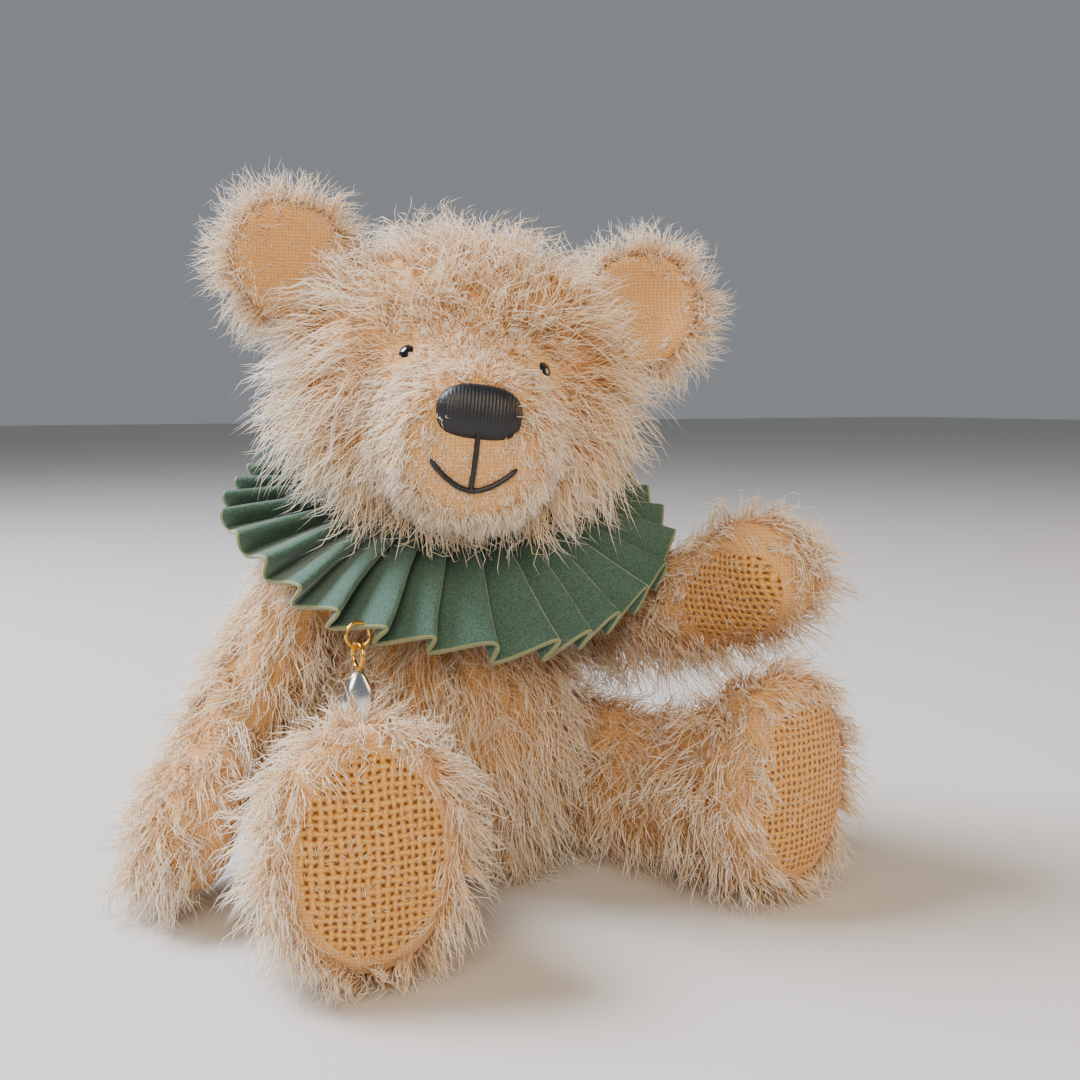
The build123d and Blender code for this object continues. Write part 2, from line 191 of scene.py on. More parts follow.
def mesh_piece(name, vertices, faces, body, finish, corners=None):
    """A smooth mesh on a body. Vertices are in millimetres; corners are UVs, one for each face corner."""
    if isinstance(faces, list):
        sizes = np.array([len(face) for face in faces])
        loops = np.array([index for face in faces for index in face])
    else:
        sizes, loops = np.full(len(faces), faces.shape[1]), faces.ravel()
    mesh = bpy.data.meshes.new(name)
    mesh.vertices.add(len(vertices))
    mesh.vertices.foreach_set("co", (np.asarray(vertices) * MM).astype(np.float32).ravel())
    mesh.loops.add(len(loops))
    mesh.loops.foreach_set("vertex_index", loops.astype(np.int32))
    mesh.polygons.add(len(sizes))
    mesh.polygons.foreach_set("loop_start", (np.cumsum(sizes) - sizes).astype(np.int32))
    mesh.polygons.foreach_set("use_smooth", np.ones(len(sizes), bool))
    if corners is not None:
        mesh.uv_layers.new(name="OFBake").data.foreach_set("uv", corners.astype(np.float32).ravel())
    mesh.update(calc_edges=True)
    mesh.materials.append(finish)
    piece = bpy.data.objects.new(name, mesh)
    bpy.context.scene.collection.objects.link(piece)
    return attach(piece, body)


def between_rings(rows, columns, closed=False):
    """The four-sided faces between a grid's rings, and from its last ring to its first where it is closed."""
    here = np.arange(columns)
    after = (here + 1) % columns
    row = np.arange(rows if closed else rows - 1)[:, None]
    low, high = row * columns, (row + 1) % rows * columns
    return np.stack([low + here, low + after, high + after, high + here], -1).reshape(-1, 4)


def tube(name, grid, body, finish):
    """A closed mesh over a grid of rings, with a point in the middle of each end."""
    rows, columns = grid.shape[:2]
    here = list(range(columns))
    after = here[1:] + here[:1]
    first, last = rows * columns, rows * columns + 1
    top = (rows - 1) * columns
    faces = between_rings(rows, columns).tolist()
    faces += [[first, b, a] for a, b in zip(here, after)]
    faces += [[last, top + a, top + b] for a, b in zip(here, after)]
    vertices = np.vstack([grid.reshape(-1, 3), grid[0].mean(0), grid[-1].mean(0)])
    return mesh_piece(name, vertices, faces, body, finish)


def ends(field):
    """A field over a grid of rings, with its first and last rows repeated for the rings that close the ends."""
    return np.concatenate([field[:1]] * 4 + [field] + [field[-1:]] * 4)


def domed(grid, bulge=0.4):
    """A grid of rings with four more at each end that shrink to its middle and swell by the bulge."""
    result = [grid]
    for first, ring, next_ring in ((True, grid[0], grid[1]), (False, grid[-1], grid[-2])):
        middle = ring.mean(0)
        out = unit(middle - next_ring.mean(0))
        extra = [middle + share * (ring - middle) + bulge * math.sqrt(1 - share ** 2) * out
                 for share in (0.05, 0.3, 0.56, 0.8)]
        result = [np.array(extra), *result] if first else [*result, np.array(extra[::-1])]
    return np.concatenate(result)


def turned(points, axis, angle):
    """Points turned about x, y or z by an angle in degrees."""
    c, s = math.cos(math.radians(angle)), math.sin(math.radians(angle))
    first, second = {"x": (1, 2), "y": (2, 0), "z": (0, 1)}[axis]
    result = np.array(points, float)
    result[..., first] = points[..., first] * c - points[..., second] * s
    result[..., second] = points[..., first] * s + points[..., second] * c
    return result


# Joint planes: places and outward directions, the left ones; the neck's points into the head
NECK = np.array([0, -1.5, 49.5])
NECK_WAY = np.array([-0.096955, -0.361842, 0.927184])
SHOULDER = np.array([12.2, 3.6, 36.2])
SHOULDER_WAY = np.array([0.868833, 0.282301, 0.406737])
HIP = np.array([10.955, 2.329, 11.2])
HIP_WAY = np.array([0.978148, 0.207912, 0.0])
MIRROR = np.array([-1, 1, 1])
LEFT_RIGHT = (("left", np.array([1, 1, 1])), ("right", MIRROR))
# The ruff's inner radius, its width and how far its edge falls, on the neck's axis
RUFF_INNER, RUFF_WIDTH, RUFF_FALL = 12.0, 17.5, 3.6


def off_ruff(points, side):
    """Points moved along the neck's axis until they are above the ruff, side 1, or below it, side -1."""
    away = points - NECK
    height = away @ NECK_WAY
    reach = np.linalg.norm(away - height[..., None] * NECK_WAY, axis=-1)
    cone = 0.2 - RUFF_FALL * np.clip((reach - RUFF_INNER) / RUFF_WIDTH, 0, 1)
    short = np.maximum(0, 2.0 - side * (height - cone)) * (1 - smooth(reach, 28, 33)) * (height * side > -6)
    return points + side * short[..., None] * NECK_WAY


# --- Mohair --------------------------------------------------------------------------------
# Long wavy mohair, cream at the tips and apricot at the roots, lying in loose locks. Every hair is
# a closed, tapering strand of three sides.

made, tree, shader = material("wavy cream mohair", Roughness=0.5, Specular_IOR_Level=0.3, Sheen_Weight=0.3)
place = add(tree, "ShaderNodeSeparateXYZ", {0: add(tree, "ShaderNodeUVMap", {}, uv_map="OFBake").outputs[0]})
warmth = calc(tree, "MULTIPLY", calc(tree, "SUBTRACT", place.outputs[0], 0.5), 0.35)
tree.links.new(ramp(tree, calc(tree, "ADD", place.outputs[1], warmth),
                    (0.0, "CE9450"), (0.3, "E9BE84"), (0.6, "F7DFB8"), (1.0, "FFF9F0")), shader.inputs["Base Color"])
MOHAIR = made
# The places of a strand's rings along it, its widths there, and its tip; three points to a ring
HAIR_STEPS = np.array([0.0, 0.28, 0.55, 0.8, 1.0])
HAIR_WIDTHS = (1.0, 0.95, 0.8, 0.55)
HAIR_POINTS = 13
# How far a root is sunk in the cloth, and how far the hair stays above the floor, in millimetres
ROOT_DEPTH, FLOOR_GAP = 0.25, 0.3


def fur(name, body, grid, density, length, comb, count, seed, stand=0.5, side=0, droop=0.3, thick=0.073):
    """Strands rooted on a grid of rings. A strand leaves between the cloth's normal and the comb's direction, waves
    as it goes, sinks by droop times its share along squared, and closes up with the other strands of its lock."""
    random = np.random.default_rng(seed)
    across = np.roll(grid, -1, 1) - np.roll(grid, 1, 1)
    normals = unit(np.cross(across, np.gradient(grid, axis=0)))
    facets = [np.roll(grid[a:grid.shape[0] - 1 + a], -b, 1) for a, b in ((0, 0), (0, 1), (1, 1), (1, 0))]
    area = np.linalg.norm(np.cross(facets[2] - facets[0], facets[3] - facets[1]), axis=-1)
    chance = (area * density[:-1]).ravel()
    chosen = random.choice(len(chance), count, p=chance / chance.sum())
    row, column = np.divmod(chosen, grid.shape[1])
    after = (column + 1) % grid.shape[1]
    u, v = random.random((2, count, 1))

    def at(field):
        """A field over the grid, at the strands' roots."""
        nearer = field[row, column] * (1 - u) + field[row, after] * u
        farther = field[row + 1, column] * (1 - u) + field[row + 1, after] * u
        return nearer * (1 - v) + farther * v

    roots, normal = at(grid), unit(at(normals))
    long = at(length[..., None]) * random.uniform(0.6, 1.25, (count, 1))
    flow = at(comb)
    flow = unit(flow - (flow * normal).sum(-1, keepdims=True) * normal)
    locks = roots[random.choice(count, max(8, count // 9), replace=False)]
    nearest = np.concatenate([
        (((part[:, None].astype(np.float32) - locks.astype(np.float32)) ** 2).sum(-1)).argmin(1)
        for part in np.array_split(roots, max(1, count // 1000))])
    total = len(locks)
    lean = random.normal(0, 0.28, (total, 3))[nearest] + random.normal(0, 0.15, (count, 3))
    way = unit(stand * normal + (1 - stand) * flow + lean)
    wave = random.normal(0, 1, (total, 3))[nearest]
    wave = unit(wave - (wave * way).sum(-1, keepdims=True) * way)
    phase = random.uniform(0, 2 * np.pi, (total, 1))[nearest] + random.normal(0, 0.35, (count, 1))
    turns = random.uniform(0.7, 1.7, (total, 1))[nearest]
    gather = random.uniform(0.25, 0.7, (total, 1))[nearest]
    line = []
    for step in HAIR_STEPS:
        swing = np.sin(2 * np.pi * turns * step + phase) - np.sin(phase)
        point = roots - ROOT_DEPTH * normal + long * (way * step + np.array([0, 0, -droop]) * step ** 2)
        point = point + 0.16 * long * step ** 0.5 * swing * wave + (locks[nearest] - roots) * gather * step ** 1.3
        if side:
            point = off_ruff(point, side) if step else point
        point[:, 2] = np.maximum(point[:, 2], FLOOR_GAP)
        line.append(point)
    line = np.array(line)
    tangent = unit(np.gradient(line, axis=0))
    one = unit(np.cross(tangent, unit(np.array([0.31, 0.52, 0.79]))))
    two = np.cross(tangent, one)
    rings = []
    for level, width in enumerate(HAIR_WIDTHS):
        for corner in range(3):
            turn = 2 * np.pi * corner / 3
            rings.append(line[level] + thick * width * (math.cos(turn) * one[level] + math.sin(turn) * two[level]))
    vertices = np.stack([*rings, line[4]], 1)
    base = np.arange(count)[:, None] * HAIR_POINTS
    sides = [(3 * level + a, 3 * level + b, 3 * level + 3 + b, 3 * level + 3 + a)
             for level in range(3) for a, b in ((0, 1), (1, 2), (2, 0))]
    root_and_tip = [(0, 2, 1), (9, 10, 12), (10, 11, 12), (11, 9, 12)]
    four_sided = (base[..., None] + np.array(sides)).reshape(-1, 4)
    three_sided = (base[..., None] + np.array(root_and_tip)).reshape(-1, 3)
    faces = [*four_sided.tolist(), *three_sided.tolist()]
    which = np.concatenate([four_sided.ravel(), three_sided.ravel()])
    along = np.repeat(HAIR_STEPS, (3, 3, 3, 3, 1))
    corners = np.stack([random.random(count)[which // HAIR_POINTS], along[which % HAIR_POINTS]], -1)
    piece = mesh_piece(name, vertices.reshape(-1, 3), faces, body, MOHAIR, corners)


# --- Torso ---------------------------------------------------------------------------------
# A pear of two panels, stuffed firm, flattened where the discs of the five joints clamp it. Its
# pile is long and hangs down; it is short under the ruff.

TORSO = [
    (0.0, 8.0, 9.0, 1.0), (2.5, 10.6, 13.2, 0.6), (7.0, 12.0, 15.8, -0.2), (13.0, 12.6, 17.0, -0.8),
    (20.0, 13.5, 17.2, -0.8), (27.0, 14.8, 16.4, -0.4), (33.0, 14.8, 14.8, 0.0),
    (39.0, 12.8, 12.4, 0.0), (44.0, 9.8, 9.8, -0.3), (49.0, 7.4, 7.6, -0.8), (52.5, 6.0, 6.2, -1.2),
]
height, (wide, deep, middle) = stations(TORSO)
torso = np.stack([wide[:, None] * np.cos(ROUND), middle[:, None] + deep[:, None] * np.sin(ROUND),
                  around(height)], -1)
# Each joint's plane, the radius that its disc keeps bare, and the height that its flat stops at
NO_TOP = 99
torso_bare = np.zeros(torso.shape[:2])
for origin, way, radius, low in (
    (NECK, NECK_WAY, 30, NO_TOP),
    (SHOULDER, SHOULDER_WAY, 8, NO_TOP), (SHOULDER * MIRROR, SHOULDER_WAY * MIRROR, 8, NO_TOP),
    (HIP, HIP_WAY, 12, 22.5), (HIP * MIRROR, HIP_WAY * MIRROR, 12, 22.5),
):
    beyond = np.maximum(0, (torso - origin) @ way + 0.15)
    torso = torso - (beyond * (1 - smooth(torso[..., 2], low - 1, low + 1.5)))[..., None] * way
    near = np.linalg.norm(torso - origin, axis=-1) < radius
    torso_bare = np.maximum(torso_bare, near & ((torso - origin) @ way > -0.6) & (torso[..., 2] < low))
torso_skin = tube("torso_skin", torso, "torso", BACKING)
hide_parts("torso_left_panel", "torso_right_panel")
below_neck = -((torso - NECK) @ NECK_WAY)
density = (1 - torso_bare) * smooth(torso[..., 2], 0.5, 2)
length = 2 + 5.5 * smooth(below_neck, 4, 16)
for part in range(2):
    fur(f"torso_fur_{part + 1}", "torso", torso, density, length, np.zeros_like(torso) + (0, 0, -1.0),
        5400, 10 + part, stand=0.32, side=-1)

# --- Head ----------------------------------------------------------------------------------
# Two side panels and a gusset over the crown. The muzzle is clipped short; elsewhere the pile
# flows back and out from the nose, longest on the cheeks and crown.

HEAD = [
    (-17.6, 1.0, 3.2, 3.0), (-16.4, 0.8, 7.6, 7.0), (-13.0, 0.8, 13.6, 12.3), (-8.0, 0.5, 17.8, 15.6),
    (-2.0, 0.0, 19.7, 17.1), (4.0, -0.2, 19.2, 16.8), (9.0, -1.4, 16.4, 15.2), (13.0, -4.0, 12.6, 12.6),
    (17.0, -6.2, 10.2, 10.0), (20.5, -6.9, 8.8, 8.6), (22.6, -7.1, 6.4, 6.2), (23.4, -7.1, 3.6, 3.4),
]
HEAD_MIDDLE = NECK + 16.2 * NECK_WAY
# Places on the head: the left eye's middle, and the nose's
EYE_PLACE = np.array([7.7, -13.6, 2.0])
NOSE_PLACE = np.array([0, -23.0, -3.6])


def on_head(points):
    """Points of the head, x to its left, -y to its nose and z up, at the turned and tilted head's place."""
    return turned(turned(points, "y", 7), "z", -20) + HEAD_MIDDLE


def head_way(vector):
    """A direction on the head."""
    return on_head(np.array(vector, float)) - HEAD_MIDDLE


forward, (rise, wide, tall) = stations(HEAD)
local_head = np.stack([wide[:, None] * np.cos(ROUND), around(-forward),
                       rise[:, None] + tall[:, None] * np.sin(ROUND)], -1)
local_head = domed(local_head)
head = on_head(local_head)
head = head + np.maximum(0, 0.15 - (head - NECK) @ NECK_WAY)[..., None] * NECK_WAY
head_skin = tube("head_skin", head, "head", BACKING)
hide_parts("head_left_panel", "head_right_panel", "head_gusset")
above_neck = (head - NECK) @ NECK_WAY
to_front = -local_head[..., 1]
muzzle = smooth(to_front, 10.5, 15)
eyes = np.minimum(*(np.linalg.norm(local_head - EYE_PLACE * (way, 1, 1), axis=-1) for way in (1, -1)))
nose = np.linalg.norm((local_head - NOSE_PLACE) / (1.25, 1, 1), axis=-1)
mouth = np.linalg.norm((local_head - (0, -22.5, -10.0)) / (1.3, 1.2, 1), axis=-1)
length = (8.6 * (1 - muzzle) + 2.4 * muzzle) * (0.35 + 0.65 * smooth(above_neck, 1, 7))
length = length * (0.4 + 0.6 * smooth(eyes, 1.8, 4.5))
density = smooth(above_neck, 0.3, 1.5) * smooth(eyes, 1.9, 2.3) * smooth(nose, 3.4, 4.2)
density = density * (1 + 2.6 * muzzle)
length = length * (0.32 + 0.68 * smooth(mouth, 3.5, 7))
parting = on_head(np.array([0, -23.0, -1.0]))
comb = unit(head - parting) + 0.35 * head_way((0, 0, 1)) * smooth(local_head[..., 2], 0, 10)[..., None]
comb = comb - 0.5 * head_way((0, 0, 1)) * smooth(-local_head[..., 2], 0, 8)[..., None]
for part in range(3):
    fur(f"head_fur_{part + 1}", "head", head, density, length, comb, 6700, 20 + part, stand=0.45, side=1)

# Ears: a furry back and a clipped, cupped front of the bare ground, sewn on at a slant.
for side, way in (("left", 1), ("right", -1)):
    def on_ear(points):
        """Points of an ear at its place on the head."""
        return on_head(turned(turned(points, "z", -way * 14), "y", way * 38) + (way * 22.6, 0.5, 12.4))

    share = np.sin(np.linspace(0.02, 1, 24) * np.pi / 2)[:, None]
    flat = np.stack([7.3 * share * np.cos(ROUND), 0 * share * ROUND, 8.0 * share * np.sin(ROUND)], -1)
    back, front = flat.copy(), flat.copy()
    back[..., 1] = 2.3 * np.sqrt(np.maximum(0, 1 - share ** 2)) + 0.05
    front[..., 1] = (1 - share ** 2) * (0.8 - 5.0 * share ** 4)
    inside = front.copy()
    inside[..., 1] = front[..., 1] + 0.3 * (1 - share ** 2)
    for part, outer, inner in (("front", front, inside), ("back", inside, back)):
        shell = np.concatenate([outer, inner[::-1]])
        skin = tube(f"{side}_ear_{part}_skin", on_ear(shell)[:, ::-1], "head", BACKING)
        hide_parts(f"{side}_ear_{part}")
    ear_grid = on_ear(back)
    outward = on_ear(flat * 2) - on_ear(flat)
    rim = around(share[:, 0])
    fur(f"{side}_ear_fur", "head", ear_grid, 0.5 + 1.5 * smooth(rim, 0.7, 0.95), 4.0 + 1.5 * smooth(rim, 0.6, 0.95),
        outward, 2300, 40 + way, stand=0.45, droop=0.1, thick=0.055)
    fur(f"{side}_ear_pile", "head", on_ear(front)[:, ::-1], 0.3 + smooth(rim, 0.5, 0.9),
        1.0 + 1.6 * smooth(rim, 0.75, 1.0), outward[:, ::-1], 900, 44 + way, stand=0.45, droop=0.1)

# --- Face ----------------------------------------------------------------------------------
# Black glass bead eyes; a nose of upright black satin stitches laid side by side; a mouth of the
# same waxed thread.

GLASS = material("black bead glass", Base_Color=hex_colour("050507"), Roughness=0.06, Specular_IOR_Level=0.6,
                 Coat_Weight=0.6)[0]
for way, side in ((1, "left"), (-1, "right")):
    level = np.linspace(0.02, np.pi - 0.02, 40)[:, None]
    ball = np.stack([np.sin(level) * np.cos(ROUND), np.sin(level) * np.sin(ROUND), -np.cos(level) + 0 * ROUND], -1)
    eye = tube(f"{side}_eye_bead", on_head(1.7 * ball + EYE_PLACE * (way, 1, 1)), "head", GLASS)
    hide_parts(f"{side}_eye")

made, tree, shader = material("waxed black thread", Roughness=0.42, Specular_IOR_Level=0.5)
place = add(tree, "ShaderNodeTexCoord", {}).outputs["Object"]
twist = add(tree, "ShaderNodeTexNoise", {"Vector": place, "Scale": 3000.0}).outputs["Fac"]
tree.links.new(ramp(tree, twist, (0.3, "07080C"), (0.7, "161A22")), shader.inputs["Base Color"])
bump(tree, shader, twist, 0.05)
THREAD = made
# The nose is about twenty-four stitches wide; each is a low ridge.
across = np.linspace(-0.995, 0.995, 120)
swell = (1 - np.abs(across) ** 2.8) ** (1 / 2.2)
ridge = 1 + 0.06 * np.abs(np.sin(across * 12 * np.pi))
nose_grid = np.stack([
    around(5.0 * across),
    NOSE_PLACE[1] - (1.7 * swell * ridge)[:, None] * np.sin(ROUND),
    NOSE_PLACE[2] + (3.3 * swell * (0.97 + 0.03 * ridge))[:, None] * np.cos(ROUND),
], -1)
nose_piece = tube("nose_stitching", on_head(nose_grid), "head", THREAD)
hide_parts("nose")


MOUTH_THREAD_RADIUS, MOUTH_HEIGHT = 0.32, -12.4


def stitch(name, knots, count=60):
    """A round thread through places on the head's own width and height, lying on the muzzle's cloth."""
    knots = np.array(knots, float)
    share = np.linspace(0, len(knots) - 1, count)
    flat = np.stack([np.interp(share, range(len(knots)), knots[:, axis]) for axis in (0, 1)], -1)
    line = []
    for x, z in flat:
        start, way = on_head(np.array([x, -40.0, z])), head_way((0, 1, 0))
        spot, normal = head_skin.ray_cast(Vector(start * MM), Vector(way))[1:3]
        line.append(np.array(spot) / MM + 0.35 * np.array(normal))
    line = np.array(line)
    along = unit(np.gradient(line, axis=0))
    one = unit(np.cross(along, head_way((0, 1, 0))))
    two = np.cross(along, one)
    turn = np.linspace(0, 2 * np.pi, 16, endpoint=False)[None, :, None]
    taper = np.clip(np.sin(np.linspace(0.03, np.pi - 0.03, count)) * 6, 0, 1)
    size = MOUTH_THREAD_RADIUS * np.sqrt(taper)[:, None, None]
    ring = line[:, None] + size * (np.sin(turn) * one[:, None] + np.cos(turn) * two[:, None])
    piece = tube(name, ring[:, ::-1], "head", THREAD)
    return piece


bow = np.linspace(-1, 1, 31)
smile = stitch("mouth_smile_thread", [(5.0 * x, MOUTH_HEIGHT + 3.0 * abs(x) ** 1.8) for x in bow])
stitch("mouth_upright_thread", [(0, -5.6), (0, MOUTH_HEIGHT)], 30)
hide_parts("mouth_stitches")

# --- Arms ----------------------------------------------------------------------------------
# Curved arms with upturned paws, the left one raised forwards, the right one hanging. A woven
# pad is let into the inner side of each paw, and the pile is clipped beside it.

ARM = [
    (-7.4, 5.5, 2.4, 2.0), (-6.2, 5.5, 4.9, 4.0), (-3.2, 5.5, 7.1, 5.8), (1.0, 5.5, 7.8, 6.4),
    (8.0, 5.8, 7.6, 6.0), (16.0, 6.9, 6.9, 5.5), (23.0, 7.9, 6.5, 5.3), (30.0, 8.7, 6.9, 5.4),
    (36.0, 9.0, 7.7, 5.6), (41.0, 9.0, 7.3, 5.4), (44.6, 9.0, 5.0, 4.2), (46.0, 9.0, 2.6, 2.3),
]
HALF_BEND = math.radians(35)
BEND_RADIUS = 36 / (2 * math.sin(HALF_BEND))
# The paw pad's middle along the arm, and its half length and half width
PAD_PLACE, PAD_LONG, PAD_WIDE = 37.2, 8.0, 5.8


def arm_line(distance):
    """Points on the arc of an arm's middle line, straight on past its ends, and its direction there."""
    along = np.clip(distance, 0, 2 * HALF_BEND * BEND_RADIUS)
    turn = HALF_BEND - along / BEND_RADIUS
    way = np.stack([np.cos(turn), np.sin(turn), 0 * turn], -1)
    arc = BEND_RADIUS * np.stack(
        [math.sin(HALF_BEND) - np.sin(turn), np.cos(turn) - math.cos(HALF_BEND), 0 * turn], -1)
    return arc + (distance - along)[..., None] * way, way


def arm_frame(raised):
    """The left shoulder's axes as rows: along the raised arm, across it, and out of the body."""
    front = np.array([0, -1.0, 0])
    front = unit(front - SHOULDER_WAY * (front @ SHOULDER_WAY))
    hanging = np.cross(SHOULDER_WAY, front)
    along = hanging * math.cos(math.radians(raised)) + front * math.sin(math.radians(raised))
    return np.stack([along, np.cross(SHOULDER_WAY, along), SHOULDER_WAY])


def mirrored(grid, flip):
    """A left grid as it is, or its mirror image with its faces still outward."""
    return grid if flip[0] > 0 else (grid * flip)[:, ::-1]


def reordered(field, flip):
    """A field over a left grid, in the order of the mirrored grid's places."""
    return field if flip[0] > 0 else field[:, ::-1]


def pad_fuzz(name, body, grid, count, seed):
    """Short loose fibres off a pad's cloth."""
    even = np.ones(grid.shape[:2])
    fur(name, body, grid, even, even, np.roll(grid, 1, 1) - grid + (0, 0, -0.1), count, seed,
        stand=0.35, droop=0.1, thick=0.05)


distance, (out, wide, thick) = stations(ARM)
arm_middle, arm_way = arm_line(distance)
sideways = np.cross([0, 0, 1.0], arm_way)
local_arm = (arm_middle[:, None] + sideways[:, None] * (wide[:, None] * np.cos(ROUND))[..., None]
             + np.array([0, 0, 1.0]) * (out[:, None] + thick[:, None] * np.sin(ROUND))[..., None])
local_arm = domed(local_arm)
local_arm[..., 2] = np.maximum(local_arm[..., 2], 0.15)
spot = ends(around(distance))
lateral = ends(wide[:, None] * np.cos(ROUND))
in_pad = ((spot - PAD_PLACE) / PAD_LONG) ** 2 + (lateral / PAD_WIDE) ** 2
facing_in = np.repeat(np.sin(ROUND)[None], len(local_arm), 0) < 0
on_pad = facing_in & (in_pad < 1.1)
arm_density = np.where(on_pad, 0, 1.0) * np.where((spot < 12) & (local_arm[..., 2] < 0.4), 0, 1)
beside_pad = np.where(facing_in, 0.35 + 0.65 * smooth(in_pad, 1.1, 3.5), 1.0)
arm_length = 6.5 * beside_pad * (0.55 + 0.45 * smooth(spot, -4, 10))
comb_arm = ends(around(arm_way))
for (side, flip), raised in zip(LEFT_RIGHT, (82, 18)):
    axes = arm_frame(raised)
    grid = mirrored(SHOULDER + local_arm @ axes, flip)
    skin = tube(f"{side}_arm_skin", grid, f"{side}_arm", BACKING)
    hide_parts(f"{side}_arm_outer_panel", f"{side}_arm_inner_panel")
    fur(f"{side}_arm_fur", f"{side}_arm", grid, reordered(arm_density, flip), reordered(arm_length, flip),
        reordered(comb_arm @ axes * flip, flip), 6200, 50 + int(flip[0]), stand=0.4, side=-1, droop=0.35)
    # The pad: an ellipse on the paw's inner face, a little proud of the cloth, with a rolled edge.
    ring = np.sin(np.linspace(0.02, 1, 30) * np.pi / 2)[:, None]
    pad_along, pad_across = PAD_PLACE + PAD_LONG * ring * np.cos(ROUND), PAD_WIDE * ring * np.sin(ROUND)
    base, base_way = arm_line(pad_along)
    sizes = [np.interp(pad_along, distance, column) for column in (out, wide, thick)]
    sink = np.sqrt(np.clip(1 - (pad_across / sizes[1]) ** 2, 0.05, 1))
    pads = []
    for lift in (0.5, -0.5):
        surface = base + np.cross([0, 0, 1.0], base_way) * pad_across[..., None]
        surface = surface + np.array([0, 0, 1.0]) * (
            sizes[0] - sizes[2] * sink - (lift - 0.35) * np.sqrt(1 - ring ** 2) - 0.2 * ring)[..., None]
        pads.append(surface)
    shell = np.concatenate([pads[0], pads[1][::-1]])
    pad = tube(f"{side}_paw_pad_cloth", mirrored(SHOULDER + shell @ axes, flip), f"{side}_arm", PAW_CLOTH)
    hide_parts(f"{side}_paw_pad")
    pad_fuzz(f"{side}_paw_pad_fuzz", f"{side}_arm", mirrored(SHOULDER + pads[0] @ axes, flip), 350, 70 + int(flip[0]))

# --- Legs ----------------------------------------------------------------------------------
# Straight legs that stick out in front, with upright feet. The sole is an oval woven pad.

LEG = [
    (-10.3, 0.0, 5.4, 2.2, 3.2), (-9.0, 0.0, 5.4, 4.2, 6.0), (-5.0, 0.0, 5.4, 6.0, 9.3),
    (0.0, 0.0, 5.4, 6.5, 10.4), (8.0, -0.2, 5.7, 6.4, 9.9), (16.0, -0.4, 6.6, 6.3, 9.0),
    (26.0, 0.2, 7.4, 6.9, 8.8), (33.0, 1.8, 8.3, 8.4, 10.4), (38.0, 3.2, 8.5, 9.6, 12.6),
    (42.0, 3.9, 8.5, 10.0, 13.3), (44.6, 4.1, 8.5, 9.3, 12.7), (45.6, 4.1, 8.5, 8.2, 11.6),
]
# The sole pad's distance from the hip, the place of its middle, and its half height and half width
SOLE_FRONT, SOLE_RISE, SOLE_OUT, SOLE_TALL, SOLE_WIDE = 44.9, 4.1, 8.5, 11.8, 8.4
LEG_AXES = np.stack([[HIP_WAY[1], -HIP_WAY[0], 0], np.cross(HIP_WAY, [HIP_WAY[1], -HIP_WAY[0], 0]), HIP_WAY])
distance, (rise, out, thick, tall) = stations(LEG)
local_leg = np.stack([
    around(distance), -rise[:, None] - tall[:, None] * np.sin(ROUND),
    out[:, None] + thick[:, None] * np.cos(ROUND)], -1)
local_leg = domed(local_leg, 0.3)
clamp = 1 - smooth(local_leg[..., 0], 14, 17)
local_leg[..., 2] = local_leg[..., 2] + clamp * np.maximum(0, 0.15 - local_leg[..., 2])
spot = local_leg[..., 0]
under_clamp = (spot < 15) & (local_leg[..., 2] < 0.4)
leg_density = (1 + 0.8 * smooth(spot, 40, 44)) * (spot < 45.3) * np.where(under_clamp, 0, 1)
leg_length = 6.8 * (0.6 + 0.4 * smooth(spot, -4, 10)) * (0.6 + 0.4 * smooth(45 - spot, 0.5, 5))
for side, flip in LEFT_RIGHT:
    grid = mirrored(HIP + local_leg @ LEG_AXES, flip)
    skin = tube(f"{side}_leg_skin", grid, f"{side}_leg", BACKING)
    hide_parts(f"{side}_leg_outer_panel", f"{side}_leg_inner_panel")
    flow = np.zeros_like(grid) + LEG_AXES[0] * flip + (0, 0, -0.35)
    fur(f"{side}_leg_fur", f"{side}_leg", grid, reordered(leg_density, flip), reordered(leg_length, flip), flow,
        7000, 60 + int(flip[0]), stand=0.45, droop=0.3)
    ring = np.sin(np.linspace(0.02, 1, 26) * np.pi / 2)[:, None]
    plate = []
    for lift in (0.0, 1.0):
        dome = SOLE_FRONT + 0.25 * lift + (0.35 + 0.75 * lift) * np.sqrt(1 - ring ** 2) + 0.5 * lift * (1 - ring ** 2)
        plate.append(np.stack([
            dome + 0 * ROUND, -SOLE_RISE - SOLE_TALL * ring * np.sin(ROUND),
            SOLE_OUT + SOLE_WIDE * ring * np.cos(ROUND)], -1))
    shell = np.concatenate([plate[0], plate[1][::-1]])
    pad = tube(f"{side}_foot_pad_cloth", mirrored(HIP + shell @ LEG_AXES, flip), f"{side}_leg", SOLE_CLOTH)
    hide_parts(f"{side}_foot_pad")
    pad_fuzz(f"{side}_foot_pad_fuzz", f"{side}_leg", mirrored(HIP + plate[1][:, ::-1] @ LEG_AXES, flip),
             500, 74 + int(flip[0]))

# --- Ruff ----------------------------------------------------------------------------------
# Velvet ribbon in thirty knife pleats, gathered on a thread round the neck. Its outer edge is a
# woven selvedge with pale golden threads. It droops in front.

